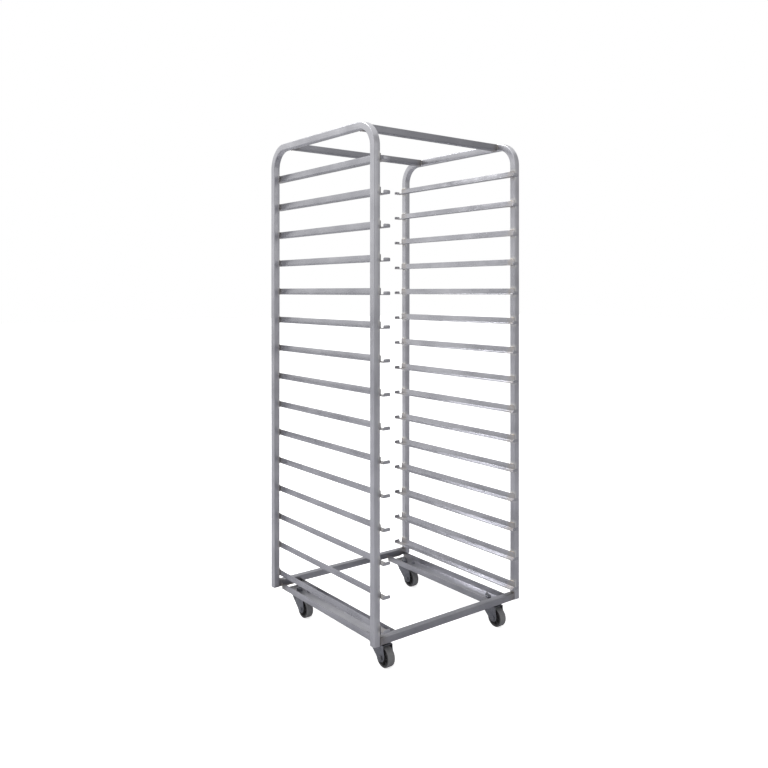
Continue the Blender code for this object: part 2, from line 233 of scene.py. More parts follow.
def steel(name, direction, heat=None, roughness=0.31, soiled=0.0, painted_corner_shade=0.0,
          painted_shade=0.0, ground=0.0):
    """heat is a function of the finish that gives 1 at a weld and 0 away from it; at bar and
    channel ends it also places the painted corner shade.
    """
    finish = Finish(name)
    lines = finish.noise(1.0, 4.0, 0.65, finish.stretched(grain_scales(direction)))
    rolling = finish.noise(9.0, 2.0)
    smears = finish.ramp(finish.noise(26.0, 5.0, 0.6), 0.48, 0.68)
    across = tuple(420.0 if letter == direction else 28.0 for letter in "XYZ")
    scratch_noise = finish.noise(1.0, 2.0, 0.5, finish.stretched(across))
    scratches = finish.ramp(scratch_noise, 0.69, 0.74) * finish.ramp(rolling, 0.45, 0.6)
    shade = finish.ramp(lines * 0.55 + rolling * 0.45, 0.3, 0.7)
    tone = finish.blend(shade, STEEL_DARK, STEEL_LIGHT)
    # painted shade: the tone is pulled towards a dark grey so that the piece reads as lit less
    # than the uprights
    if painted_shade:
        tone = finish.blend(painted_shade, tone, PAINTED_SHADE_TONE)
    rough = lines * 0.16 + rolling * 0.10 + smears * 0.09 + (roughness - 0.13)
    if heat:
        near = heat(finish)
        ragged = near * finish.ramp(finish.noise(160.0, 3.0), 0.3, 0.62)
        tone = finish.blend(ragged * 0.35, tone, HEAT_STRAW)
        # painted shade: a dark blue-grey mixed into the tone where bars and channels meet other
        # parts, standing in for the shade in those corners
        dark = near * finish.ramp(smears * 0.5 + rolling * 0.5, 0.1, 0.5) * painted_corner_shade
        tone = finish.blend(dark, tone, PAINTED_CORNER_SHADE_TONE)
        if ground:
            tone = finish.blend(near * ground, tone, STEEL_GROUND)
        rough = rough + near * 0.10
    if soiled:
        specks = finish.ramp(finish.noise(310.0, 3.0, 0.6), 0.66, 0.72)
        patches = finish.ramp(finish.noise(14.0, 3.0), 0.46, 0.66)
        soil = specks * patches * soiled
        tone = finish.blend(soil, tone, BAKED_BROWN)
        rough = rough + soil * 0.3
    surface = finish.bump(lines, 0.00004, 0.55)
    surface = finish.bump(rolling, 0.0012, 0.25, surface)
    surface = finish.bump(scratches * -1.0, 0.00008, 0.7, surface)
    return finish.feed(Base_Color=tone, Roughness=rough, Normal=surface)


RUNNER_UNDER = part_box("left_runner_15")[0].z
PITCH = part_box("left_runner_14")[0].z - RUNNER_UNDER
RUNNER_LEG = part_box("left_runner_15")[1].z - RUNNER_UNDER
HEAT_FULL = 13 * MM
HEAT_GONE = 26 * MM


def heat_at_runners(finish):
    """1 beside each runner's weld on an upright's inner face."""
    turns = (finish.axis("Z") - (RUNNER_UNDER + RUNNER_LEG / 2)) / PITCH
    nearest = finish.node("ShaderNodeMath", {"operation": "ROUND"}, {0: turns})
    away = abs(turns - nearest) * PITCH
    inward = finish.ramp(abs(finish.axis("X")), INNER_X + 4 * MM, INNER_X + 12 * MM, 1.0, 0.0)
    below_top = finish.ramp(finish.axis("Z"), TOP_Z - 110 * MM, TOP_Z - 100 * MM, 1.0, 0.0)
    return finish.ramp(away, HEAT_FULL, HEAT_GONE, 1.0, 0.0) * inward * below_top


def heat_and_shade_at_bar_ends(finish):
    """1 where a cross bar meets the side frames: the heat colour and the painted corner shade go
    there.
    """
    return finish.ramp(abs(finish.axis("X")), INNER_X - 40 * MM, INNER_X - 8 * MM)


def heat_at_uprights(finish):
    """1 where a runner crosses an upright."""
    return finish.ramp(abs(abs(finish.axis("Y")) - UPRIGHT_Y), 14 * MM, 30 * MM, 1.0, 0.0)


def heat_and_shade_at_channel_ends(finish):
    """1 where a channel meets the base bars: the heat colour and the painted corner shade go
    there.
    """
    return finish.ramp(abs(finish.axis("Y")), UPRIGHT_Y - 70 * MM, UPRIGHT_Y - 16 * MM)


upright_steel = steel("brushed_upright_tube", "Z", heat_at_runners, ground=0.6)
top_tube_steel = steel("brushed_top_tube", "Y")
# bar, runner and channel steel are darker copies of the upright steel: painted shade
bar_steel = steel("brushed_cross_bar", "X", heat_and_shade_at_bar_ends, 0.33, 0.2, 0.35, 0.6)
runner_steel = steel("folded_runner_sheet", "Y", heat_at_uprights, 0.28, 0.7, painted_shade=0.27)
channel_steel = steel("folded_channel_sheet", "Y", heat_and_shade_at_channel_ends, 0.34, 0.5, 0.9, 0.25)
print("steel finishes:", [m.name for m in bpy.data.materials if m.name.startswith(("b", "f"))])

# %% [markdown]
# ## Weld metal, zinc and resin
#
# Weld beads are brighter and glossier than the steel beside them, with straw and blue heat
# colours between their ripples. The casters are pressed steel with dull zinc plate, which
# mottles into pale and grey crystals. The wheels are a dark moulded resin that takes baking
# heat: matt on the sides, and rubbed grey and dusty on the tread.


# %% Small finishes
def weld_finish():
    finish = Finish("weld_metal")
    patches = finish.noise(230.0, 4.0)
    tone = finish.blend(finish.ramp(patches, 0.4, 0.65), colour(0.46, 0.45, 0.46), HEAT_STRAW)
    blue = finish.ramp(finish.noise(170.0, 2.0), 0.58, 0.72)
    tone = finish.blend(blue * 0.45, tone, colour(0.22, 0.25, 0.36))
    surface = finish.bump(finish.noise(2600.0, 2.0), 0.0001, 0.3)
    return finish.feed(Base_Color=tone, Roughness=patches * 0.25 + 0.2, Normal=surface)


def zinc_finish():
    finish = Finish("zinc_plate")
    spangle = finish.node("ShaderNodeTexVoronoi", {},
                          {"Vector": finish.place, "Scale": 240.0}, "Color")
    crystal = finish.node("ShaderNodeSeparateXYZ", {}, {0: spangle}, "X")
    cloud = finish.noise(60.0, 4.0)
    tone = finish.blend(crystal * 0.5 + cloud * 0.4, colour(0.20, 0.205, 0.23),
                        colour(0.34, 0.345, 0.375))
    grime = finish.ramp(finish.noise(42.0, 5.0, 0.65), 0.52, 0.72)
    tone = finish.blend(grime * 0.6, tone, colour(0.12, 0.115, 0.11))
    rough = crystal * 0.08 + cloud * 0.2 + grime * 0.15 + 0.28
    surface = finish.bump(finish.noise(700.0, 3.0), 0.00012, 0.4)
    return finish.feed(Base_Color=tone, Roughness=rough, Normal=surface)


def resin_finish():
    finish = Finish("moulded_resin", 0.5, 0.0)
    cloud = finish.noise(35.0, 4.0)
    tone = finish.blend(cloud, colour(0.028, 0.028, 0.030), colour(0.062, 0.061, 0.063))
    dust = finish.ramp(finish.noise(90.0, 5.0, 0.7), 0.50, 0.75)
    tone = finish.blend(dust * 0.4, tone, colour(0.22, 0.217, 0.215))
    surface = finish.bump(finish.noise(1800.0, 2.0), 0.0001, 0.5)
    return finish.feed(Base_Color=tone, Roughness=cloud * 0.15 + dust * 0.2 + 0.4, Normal=surface)


def tread_finish():
    finish = Finish("rubbed_tread", 0.7, 0.0)
    rubbed = finish.noise(1.0, 5.0, 0.7, finish.stretched((70.0, 380.0, 380.0)))
    flour = finish.ramp(finish.noise(140.0, 5.0, 0.7), 0.47, 0.7)
    tone = finish.blend(rubbed, colour(0.18, 0.18, 0.188), colour(0.31, 0.31, 0.318))
    tone = finish.blend(flour * 0.5, tone, colour(0.34, 0.33, 0.315))
    surface = finish.bump(finish.noise(420.0, 4.0, 0.7), 0.0004, 0.6)
    return finish.feed(Base_Color=tone, Roughness=rubbed * 0.2 + 0.6, Normal=surface)


weld_metal = weld_finish()
zinc = zinc_finish()
resin = resin_finish()
tread = tread_finish()
print("small finishes:", weld_metal.name, zinc.name, resin.name, tread.name)

# %% [markdown]
# ## Working as by hand
#
# Every piece starts as a primitive and is shaped in edit mode. An operator acts on all that
# is selected, so one helper clears the selection before a primitive is added, and another
# selects only the vertices, edges or faces whose corners pass a test on their place.


# %% Tools for selecting
NEAR = 1e-5
SAME_POINT = 2e-6


def clear_selection():
    if bpy.context.mode != "OBJECT":
        bpy.ops.object.mode_set(mode="OBJECT")
    bpy.ops.object.select_all(action="DESELECT")


def take(piece):
    """Makes the piece the only one that is selected, and the active one."""
    clear_selection()
    piece.select_set(True)
    bpy.context.view_layer.objects.active = piece


def edit(piece, kind):
    """Opens the piece in edit mode on vertices, edges or faces, with nothing selected."""
    take(piece)
    bpy.ops.object.mode_set(mode="EDIT")
    bpy.ops.mesh.select_mode(type=kind)
    bpy.ops.mesh.select_all(action="DESELECT")
    return bmesh.from_edit_mesh(piece.data)


def edit_all(piece, kind):
    """The same, with everything selected."""
    edit(piece, kind)
    bpy.ops.mesh.select_all(action="SELECT")


def pick(piece, kind, test):
    """Selects the parts of that kind whose corners all pass the test."""
    mesh = edit(piece, kind)
    parts = {"VERT": mesh.verts, "EDGE": mesh.edges, "FACE": mesh.faces}[kind]
    for part in parts:
        corners = [part] if kind == "VERT" else part.verts
        if all(test(corner.co) for corner in corners):
            part.select_set(True)
    mesh.select_flush_mode()
    bmesh.update_edit_mesh(piece.data)


def pick_edges(piece, test):
    """Selects the edges that pass the test as a whole."""
    mesh = edit(piece, "EDGE")
    for edge in mesh.edges:
        if test(edge):
            edge.select_set(True)
    bmesh.update_edit_mesh(piece.data)


print("parts closer than", NEAR, "m to a plane count as on it")


# %% Tools for new primitives
def named(name):
    """The primitive that was just added, named, with its place moved into its mesh."""
    piece = bpy.context.object
    piece.name = name
    piece.data.name = name
    bpy.ops.object.transform_apply(location=True, rotation=True, scale=True)
    return piece


def new_plane(name, middle, width, length):
    clear_selection()
    bpy.ops.mesh.primitive_plane_add(size=1, location=middle)
    bpy.context.object.scale = (width, length, 1)
    return named(name)


def new_box(name, low, high):
    clear_selection()
    low, high = Vector(low), Vector(high)
    bpy.ops.mesh.primitive_cube_add(size=1, location=(low + high) / 2)
    bpy.context.object.scale = high - low
    return named(name)


def new_cylinder(name, middle, radius, depth, sides):
    clear_selection()
    bpy.ops.mesh.primitive_cylinder_add(vertices=sides, radius=radius, depth=depth,
                                        location=middle)
    return named(name)


print("primitives: plane, box, cylinder")


# %% Tools for shaping
FOLD_ANGLE = math.radians(60)
FOLD_STEPS = 6


def pull(offset):
    bpy.ops.mesh.extrude_region_move(TRANSFORM_OT_translate={"value": offset})


def round_folds(piece, radius):
    """Rounds every edge where two faces of the sheet stand at more than the fold angle."""
    pick_edges(piece, lambda edge: len(edge.link_faces) == 2
               and edge.calc_face_angle() > FOLD_ANGLE)
    bpy.ops.mesh.bevel(offset=radius, segments=FOLD_STEPS, affect="EDGES")
    clear_selection()


def tidy_normals(piece):
    edit_all(piece, "VERT")
    bpy.ops.mesh.remove_doubles(threshold=SAME_POINT)
    bpy.ops.mesh.normals_make_consistent(inside=False)
    clear_selection()


def apply_modifiers(piece):
    take(piece)
    for modifier in list(piece.modifiers):
        bpy.ops.object.modifier_apply(modifier=modifier.name)


def thicken(piece, thickness):
    """Gives a skin its wall, inwards from its outer faces."""
    wall = piece.modifiers.new("wall", "SOLIDIFY")
    wall.thickness = thickness
    wall.offset = -1
    wall.use_even_offset = True
    apply_modifiers(piece)


def soften(piece, width, steps=2, above=40):
    """Bevels the edges that are sharper than an angle in degrees."""
    edge = piece.modifiers.new("edge", "BEVEL")
    edge.width = width
    edge.segments = steps
    edge.limit_method = "ANGLE"
    edge.angle_limit = math.radians(above)
    apply_modifiers(piece)


def smooth(piece, angle=32):
    take(piece)
    bpy.ops.object.shade_smooth_by_angle(angle=math.radians(angle))


print("a fold is an edge of more than", round(math.degrees(FOLD_ANGLE)), "degrees")


# %% Tools for whole pieces
def join(name, pieces):
    clear_selection()
    for piece in pieces:
        piece.select_set(True)
    bpy.context.view_layer.objects.active = pieces[0]
    bpy.ops.object.join()
    whole = bpy.context.object
    whole.name = name
    whole.data.name = name
    return whole


def copied(piece, name, matrix):
    """A copy with its own mesh, moved or turned in the mesh itself."""
    twin = piece.copy()
    twin.data = piece.data.copy()
    twin.name = name
    twin.data.name = name
    twin.data.transform(matrix)
    bpy.context.scene.collection.objects.link(twin)
    return twin


def discard(piece):
    bpy.data.objects.remove(piece, do_unlink=True)


def finish_piece(piece, material, body="rack", replaces=()):
    piece.data.materials.clear()
    piece.data.materials.append(material)
    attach(piece, body)
    if replaces:
        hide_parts(*replaces)
    return piece


print("each piece rides a body, fills a slot and replaces its nodes")

# %% [markdown]
# ## Side frames
#
# Each side of the rack is one length of square tube, bent at both top corners. It could be a
# curve with a square profile, but here it is made the way a tube bender works: the section is
# drawn once at a foot, pulled up to the bend, spun round it, pulled across the top, spun
# again and pulled down to the other foot. Solidify gives the tube its wall, so its feet show
# open ends, which are then closed with pressed caps.


# %% Bent tube
BEND_STEPS = 28
TUBE_CORNER_STEPS = 5


def bent_side_frame(side, word):
    bend_y = UPRIGHT_Y - BEND_RADIUS
    bend_z = TOP_Z - TUBE / 2 - BEND_RADIUS
    x = side * UPRIGHT_X
    tube = new_plane(f"{word}_side_frame_tube", (x, -UPRIGHT_Y, FOOT_Z), TUBE, TUBE)
    edit_all(tube, "VERT")
    bpy.ops.mesh.bevel(offset=TUBE_CORNER, segments=TUBE_CORNER_STEPS, affect="VERTICES")
    bpy.ops.mesh.select_all(action="SELECT")
    bpy.ops.mesh.delete(type="ONLY_FACE")
    bpy.ops.mesh.select_all(action="SELECT")
    quarter = math.radians(90)
    pull((0, 0, bend_z - FOOT_Z))
    bpy.ops.mesh.spin(steps=BEND_STEPS, angle=quarter, center=(x, -bend_y, bend_z),
                      axis=(1, 0, 0))
    pull((0, 2 * bend_y, 0))
    bpy.ops.mesh.spin(steps=BEND_STEPS, angle=quarter, center=(x, bend_y, bend_z),
                      axis=(1, 0, 0))
    pull((0, 0, FOOT_Z - bend_z))
    clear_selection()
    tidy_normals(tube)
    thicken(tube, WALL)
    smooth(tube)
    finish_piece(tube, upright_steel, replaces=(f"{word}_side_frame",))
    tube.data.materials.append(top_tube_steel)
    for face in tube.data.polygons:
        if face.center.z > bend_z + BEND_RADIUS * 0.7:
            face.material_index = 1
    return tube


for word, side in SIDES.items():
    tube = bent_side_frame(side, word)
    tall = max(v.co.z for v in tube.data.vertices)
    print(tube.name, "faces", len(tube.data.polygons), "top", round(tall, 4))

# %% [markdown]
# ## Foot caps
#
# An open tube end would catch flour and water, so each foot is closed by a small pressed
# cap. It starts as a thin box a little smaller than the bore, its corners are rounded, and
# the middle of its lower face is inset and pushed up, as the press leaves it.


# %% Foot caps
CAP_GAP = 0.2 * MM
CAP_SUNK = 0.6 * MM
CAP_TOP = 4 * MM


def foot_cap(name, x, y):
    half = TUBE / 2 - WALL - CAP_GAP
    cap = new_box(name, (x - half, y - half, FOOT_Z + CAP_SUNK),
                  (x + half, y + half, FOOT_Z + CAP_TOP))
    pick(cap, "FACE", lambda co: co.z < FOOT_Z + 1 * MM)
    bpy.ops.mesh.inset(thickness=3 * MM)
    bpy.ops.mesh.inset(thickness=1.5 * MM, depth=-1.2 * MM)
    clear_selection()
    soften(cap, 0.8 * MM, 3)
    smooth(cap)
    return finish_piece(cap, bar_steel)


for end, y_side in ENDS.items():
    for word, side in SIDES.items():
        cap = foot_cap(f"{end}_{word}_foot_cap", side * UPRIGHT_X, y_side * UPRIGHT_Y)
print("foot caps: 4, each", len(cap.data.polygons), "faces")

# %% [markdown]
# ## Cross bars
#
# Four straight lengths of the same tube hold the side frames apart. A bar starts as a box,
# its long edges are bevelled to the tube's corner radius, both end faces are opened, and the
# skin is given its wall.


# %% Cross bars
def cross_bar(node):
    low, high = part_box(node)
    bar = new_box(f"{node}_tube", low, high)
    ends = (low.x, high.x)

    def along(edge):
        return abs(edge.verts[0].co.x - edge.verts[1].co.x) > TUBE * 2

    pick_edges(bar, along)
    bpy.ops.mesh.bevel(offset=TUBE_CORNER, segments=TUBE_CORNER_STEPS, affect="EDGES")
    for x in ends:
        pick(bar, "FACE", lambda co: abs(co.x - x) < NEAR)
        bpy.ops.mesh.delete(type="ONLY_FACE")
    clear_selection()
    thicken(bar, WALL)
    smooth(bar)
    return finish_piece(bar, bar_steel, replaces=(node,))


for node in ("front_top_bar", "rear_top_bar", "front_base_bar", "rear_base_bar"):
    bar = cross_bar(node)
    print(bar.name, "faces", len(bar.data.polygons))

# %% [markdown]
# ## Runners
#
# A runner is folded from 2 mm sheet: a leg that is welded to the uprights, a flange that the
# pan slides on, and the flange's two ends turned up so that a pan can't roll out. The outer
# skin is laid flat, cut where the leg ends, and its borders are pulled up. Then the free
# corners of the stops are radiused, the folds are rounded, and Solidify gives the sheet its
# thickness inwards. One left and one right runner are made, and each level is a copy.


# %% Folded runner
SHEET = 2 * MM
FOLD = 3 * MM
STOP_HEIGHT = 12 * MM
STOP_CORNER = 4.5 * MM
SHEET_EDGE = 0.35 * MM


def folded_runner(word, side):
    low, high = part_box(f"{word}_runner_15")
    root, lip = (low.x, high.x) if side < 0 else (high.x, low.x)
    end_y = high.y
    leg_y = UPRIGHT_Y + TUBE / 2
    middle = ((root + lip) / 2, 0, low.z)
    runner = new_plane(f"{word}_runner_master", middle, abs(lip - root), 2 * end_y)
    for y in (-leg_y, leg_y):
        edit_all(runner, "FACE")
        bpy.ops.mesh.bisect(plane_co=(0, y, 0), plane_no=(0, 1, 0))
    pick(runner, "EDGE", lambda co: abs(co.x - root) < NEAR and abs(co.y) < leg_y + NEAR)
    pull((0, 0, high.z - low.z))
    pick(runner, "EDGE", lambda co: abs(co.y + end_y) < NEAR)
    pull((0, 0, STOP_HEIGHT))
    pick(runner, "EDGE", lambda co: abs(co.y - end_y) < NEAR and co.z < low.z + NEAR)
    pull((0, 0, STOP_HEIGHT))
    pick(runner, "VERT", lambda co: abs(abs(co.y) - end_y) < NEAR and co.z > low.z + NEAR)
    bpy.ops.mesh.bevel(offset=STOP_CORNER, segments=5, affect="VERTICES")
    round_folds(runner, FOLD)
    tidy_normals(runner)
    flange = max(runner.data.polygons, key=lambda face: face.area)
    down_or_out = flange.normal.z if abs(flange.normal.z) > 0.5 else -flange.normal.x * side
    if down_or_out > 0:
        runner.data.flip_normals()
    thicken(runner, SHEET)
    soften(runner, SHEET_EDGE, 2, 50)
    smooth(runner)
    return runner


runner_count = 0
for word, side in SIDES.items():
    master = folded_runner(word, side)
    for level in range(1, LEVELS + 1):
        node = f"{word}_runner_{level:02d}"
        rise = Matrix.Translation((0, 0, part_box(node)[0].z - RUNNER_UNDER))
        finish_piece(copied(master, f"{node}_folded", rise), runner_steel, replaces=(node,))
        runner_count += 1
    print(word, "runner faces", len(master.data.polygons),
          "size", [round(c * 1000, 1) for c in master.dimensions])
    discard(master)
print("runners:", runner_count)

# %% [markdown]
# ## Base channels
#
# Two channels stand open upwards between the base bars, with the casters bolted under them.
# They are folded from thicker sheet in the same way: a flat web, both long borders pulled up,
# the folds rounded, and a wall given inwards.


# %% Folded channel
CHANNEL_SHEET = 2.5 * MM
CHANNEL_FOLD = 4 * MM
CHANNEL_EDGE = 0.4 * MM


def folded_channel(word):
    low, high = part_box(f"{word}_base_rail")
    middle = ((low.x + high.x) / 2, (low.y + high.y) / 2, low.z)
    channel = new_plane(f"{word}_base_channel", middle, high.x - low.x, high.y - low.y)
    for x in (low.x, high.x):
        pick(channel, "EDGE", lambda co: abs(co.x - x) < NEAR and co.z < low.z + NEAR)
        pull((0, 0, high.z - low.z))
    round_folds(channel, CHANNEL_FOLD)
    tidy_normals(channel)
    web = max(channel.data.polygons, key=lambda face: face.area)
    if web.normal.z > 0:
        channel.data.flip_normals()
    thicken(channel, CHANNEL_SHEET)
    soften(channel, CHANNEL_EDGE, 2, 50)
    smooth(channel)
    return finish_piece(channel, channel_steel, replaces=(f"{word}_base_rail",))


for word in SIDES:
    channel = folded_channel(word)
    print(channel.name, "faces", len(channel.data.polygons))

# %% [markdown]
# ## Weld beads
#
# Where a welder stops and starts, a bead shows as a row of small overlapping ripples. One bead
# is pulled ring by ring from a circle, and each ring is a little wider or narrower than the
# last. Every joint then gets a copy, turned and placed in its mesh, and the beads of one
# upright, bar or channel become one piece.

# %% One bead
BEAD_LENGTH = 20 * MM
BEAD_RADIUS = 1.7 * MM
RIPPLES = 11
RINGS_PER_RIPPLE = 3


def bead_radius(step, steps):
    """Radius of one ring: ripples along the bead, and a taper at both ends."""
    ripple = abs(math.sin(math.pi * step / RINGS_PER_RIPPLE))
    from_end = min(step, steps - step) / (RINGS_PER_RIPPLE * 1.2)
    taper = math.sin(math.pi / 2 * min(1.0, 0.25 + 0.75 * from_end))
    return BEAD_RADIUS * (0.84 + 0.16 * ripple) * taper


def bead_master():
    """A bead along Y, its middle at the origin."""
    steps = RIPPLES * RINGS_PER_RIPPLE
    clear_selection()
    start = bead_radius(0, steps)
    bpy.ops.mesh.primitive_circle_add(vertices=10, radius=start, fill_type="NGON",
                                      location=(0, -BEAD_LENGTH / 2, 0),
                                      rotation=(math.radians(90), 0, 0))
    bead = named("bead_master")
    edit_all(bead, "FACE")
    radius = start
    for step in range(1, steps + 1):
        pull((0, BEAD_LENGTH / steps, 0))
        wanted = bead_radius(step, steps)
        grow = wanted / radius
        bpy.ops.transform.resize(value=(grow, 1, grow))
        radius = wanted
    clear_selection()
    tidy_normals(bead)
    smooth(bead, 60)
    return bead


bead = bead_master()
print("bead faces", len(bead.data.polygons), "length", round(bead.dimensions.y * 1000, 1), "mm")

# %% Beads on every joint
hand = random.Random(7)
FULL_TURN = 6.28
RUNNER_FACE_X = abs(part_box("left_runner_15")[0].x)


def bead_at(middle, direction, length=BEAD_LENGTH):
    """A copy of the bead, with the small unevenness of hand work."""
    turn = {"Y": Matrix.Identity(4), "X": Matrix.Rotation(math.radians(90), 4, "Z"),
            "Z": Matrix.Rotation(math.radians(90), 4, "X")}[direction]
    uneven = Matrix.Rotation(hand.uniform(0, FULL_TURN), 4, "Y")
    stretch = Matrix.Diagonal((hand.uniform(0.9, 1.1), length / BEAD_LENGTH,
                               hand.uniform(0.9, 1.1), 1))
    matrix = Matrix.Translation(middle) @ turn @ stretch @ uneven
    return copied(bead, "bead", matrix)


def runner_beads(side, end):
    """Over and under each runner's leg, where it crosses one upright."""
    beads = []
    x = side * (RUNNER_FACE_X - 0.9 * MM)
    y = end * UPRIGHT_Y
    for level in range(LEVELS):
        under = RUNNER_UNDER + level * PITCH
        for z in (under + RUNNER_LEG + 0.3 * MM, under + 0.6 * MM):
            slip = hand.uniform(-0.8, 0.8) * MM
            beads.append(bead_at((x, y + slip, z), "Y", hand.uniform(18.5, 21.5) * MM))
    return beads


def bar_beads(node):
    """Round both ends of a top bar, or over the ends of a base bar."""
    low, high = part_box(node)
    middle_y = (low.y + high.y) / 2
    beads = []
    for x in (low.x + 0.3 * MM, high.x - 0.3 * MM):
        if "top" in node:
            beads.append(bead_at((x, middle_y, low.z), "Y"))
            for y in (low.y, high.y):
                beads.append(bead_at((x, y, (low.z + high.z) / 2 - 1 * MM), "Z"))
        else:
            beads.append(bead_at((x, middle_y, high.z), "Y"))
    return beads


def channel_beads(word):
    """Up the outside of each channel flange, where it meets a base bar."""
    low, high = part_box(f"{word}_base_rail")
    top = high.z
    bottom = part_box("front_base_bar")[0].z
    beads = []
    for y in (low.y + 0.3 * MM, high.y - 0.3 * MM):
        for x in (low.x, high.x):
            beads.append(bead_at((x, y, (top + bottom) / 2), "Z", top - bottom))
        beads.append(bead_at(((low.x + high.x) / 2, y, bottom), "X", 60 * MM))
    return beads


bead_groups = {}
for end_word, end in ENDS.items():
    for word, side in SIDES.items():
        bead_groups[f"{end_word}_{word}_runner_welds"] = runner_beads(side, end)
for node in ("front_top_bar", "rear_top_bar", "front_base_bar", "rear_base_bar"):
    bead_groups[f"{node}_welds"] = bar_beads(node)
for word in SIDES:
    bead_groups[f"{word}_channel_welds"] = channel_beads(word)
for name, beads in bead_groups.items():
    finish_piece(join(name, beads), weld_metal)
    print(name, "beads", len(beads))
discard(bead)

# %% [markdown]
# ## Bolts
#
# A bolt head or a nut is a six-sided cylinder, but a real one has its corners turned away at
# 30 degrees, stands on a washer, and a nut shows the end of its thread. The corners are turned
# away by insetting the outer face and lifting what is inside. The thread is a plain rod whose
# rings are made narrower and wider in turn.


# %% Fasteners
HEX_STEPS = 6
CHAMFER_WIDTH = 0.06
CHAMFER_HEIGHT = 0.10
THREAD_ROOT = 0.9
WASHER_SHEET = 1.4 * MM


def hex_head(name, middle, across, height, up=1):
    """Chamfered on the side that faces up (1) or down (-1)."""
    radius = across / 2 / math.cos(math.radians(30))
    head = new_cylinder(name, middle, radius, height, HEX_STEPS)
    outer = middle[2] + up * height / 2
    pick(head, "FACE", lambda co: abs(co.z - outer) < NEAR)
    bpy.ops.mesh.inset(thickness=across * CHAMFER_WIDTH, depth=0)
    bpy.ops.transform.translate(value=(0, 0, up * height * CHAMFER_HEIGHT))
    bpy.ops.mesh.inset(thickness=across * 0.05, depth=0)
    clear_selection()
    soften(head, 0.25 * MM, 2, 20)
    return head


def washer(name, middle, radius, sheet=WASHER_SHEET):
    ring = new_cylinder(name, middle, radius, sheet, 40)
    soften(ring, 0.3 * MM, 2)
    return ring


def thread_end(name, middle, radius, length, pitch):
    """A rod along Z whose rings are narrow and wide in turn, like a thread."""
    clear_selection()
    low = middle[2] - length / 2
    bpy.ops.mesh.primitive_circle_add(vertices=24, radius=radius, fill_type="NGON",
                                      location=(middle[0], middle[1], low))
    rod = named(name)
    edit_all(rod, "FACE")
    steps = 2 * round(length / pitch)
    for step in range(steps):
        pull((0, 0, length / steps))
        factor = THREAD_ROOT if step % 2 == 0 else 1 / THREAD_ROOT
        bpy.ops.transform.resize(value=(factor, factor, 1))
    clear_selection()
    tidy_normals(rod)
    return rod


def dome(name, middle, radius, height):
    """A round carriage head that hangs under a plate."""
    clear_selection()
    bpy.ops.mesh.primitive_uv_sphere_add(segments=32, ring_count=16, radius=radius,
                                         location=middle)
    ball = named(name)
    edit_all(ball, "VERT")
    bpy.ops.mesh.bisect(plane_co=middle, plane_no=(0, 0, 1), clear_outer=True, use_fill=True)
    bpy.ops.mesh.select_all(action="SELECT")
    bpy.ops.transform.resize(value=(1, 1, height / radius), center_override=middle)
    clear_selection()
    return ball


print("washers", WASHER_SHEET / MM, "mm thick, thread roots", THREAD_ROOT, "of their rod")

# %% [markdown]
# ## Caster plates
#
# The top plate is a stamped rectangle with rounded corners. Under it sits the fixed half of
# the swivel race, a pressed cup with a rounded lip. Four round-headed bolts hold the plate to
# the channel, and their nuts stand inside it beside the big nut of the king bolt.

# %% Sizes of a caster
plate_low, plate_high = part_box("front_left_caster_plate")
fork_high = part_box("front_left_caster_fork")[1]
wheel_low, wheel_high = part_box("front_left_wheel")
channel_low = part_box("left_base_rail")[0]
SWIVEL = Vector(((plate_low.x + plate_high.x) / 2, (plate_low.y + plate_high.y) / 2, 0))
AXLE = Vector((SWIVEL.x, (wheel_low.y + wheel_high.y) / 2, (wheel_low.z + wheel_high.z) / 2))
PLATE_SHEET = 3 * MM
PLATE_TOP = plate_high.z
RACE_BOTTOM = plate_low.z
CROWN_TOP = fork_high.z
CROWN_BOTTOM = CROWN_TOP - 3 * MM
WHEEL_RADIUS = (wheel_high.z - wheel_low.z) / 2
HUB_HALF = (wheel_high.x - wheel_low.x) / 2
WEB_TOP = channel_low.z + CHANNEL_SHEET
print("trail", round((SWIVEL.y - AXLE.y) * 1000, 1), "wheel", round(WHEEL_RADIUS * 2000, 1))


# %% Turned shapes
def turned(name, profile, middle, axis="Z", steps=64):
    """Spins a closed half section of (radius, height) points round an axis."""
    clear_selection()
    bpy.ops.mesh.primitive_circle_add(vertices=len(profile), radius=1, fill_type="NOTHING")
    ring = named(name)
    for vertex, (radius, height) in zip(ring.data.vertices, profile):
        vertex.co = (radius, 0, height)
    edit_all(ring, "VERT")
    bpy.ops.mesh.spin(steps=steps, angle=math.radians(360), center=(0, 0, 0), axis=(0, 0, 1))
    clear_selection()
    turn = Matrix.Rotation(math.radians(90), 4, "Y") if axis == "X" else Matrix.Identity(4)
    ring.data.transform(Matrix.Translation(middle) @ turn)
    tidy_normals(ring)
    return ring


def caster_plate():
    half_x = (plate_high.x - plate_low.x) / 2
    half_y = (plate_high.y - plate_low.y) / 2
    plate = new_box("plate", (SWIVEL.x - half_x, SWIVEL.y - half_y, PLATE_TOP - PLATE_SHEET),
                    (SWIVEL.x + half_x, SWIVEL.y + half_y, PLATE_TOP))
    pick_edges(plate, lambda edge: abs(edge.verts[0].co.z - edge.verts[1].co.z) > NEAR)
    bpy.ops.mesh.bevel(offset=6 * MM, segments=8, affect="EDGES")
    clear_selection()
    soften(plate, 0.5 * MM, 2)
    drop = PLATE_TOP - PLATE_SHEET - RACE_BOTTOM
    section = [(7 * MM, 0), (27 * MM, 0), (27 * MM, -drop * 0.55), (26 * MM, -drop * 0.9),
               (24.5 * MM, -drop), (22 * MM, -drop), (21 * MM, -drop * 0.5), (7 * MM, -drop * 0.5)]
    race = turned("race", section, (SWIVEL.x, SWIVEL.y, PLATE_TOP - PLATE_SHEET))
    whole = join("caster_plate_master", [plate, race])
    smooth(whole)
    return whole


PLATE_BOLT_X = 22.5 * MM
PLATE_BOLT_Y = 30.5 * MM


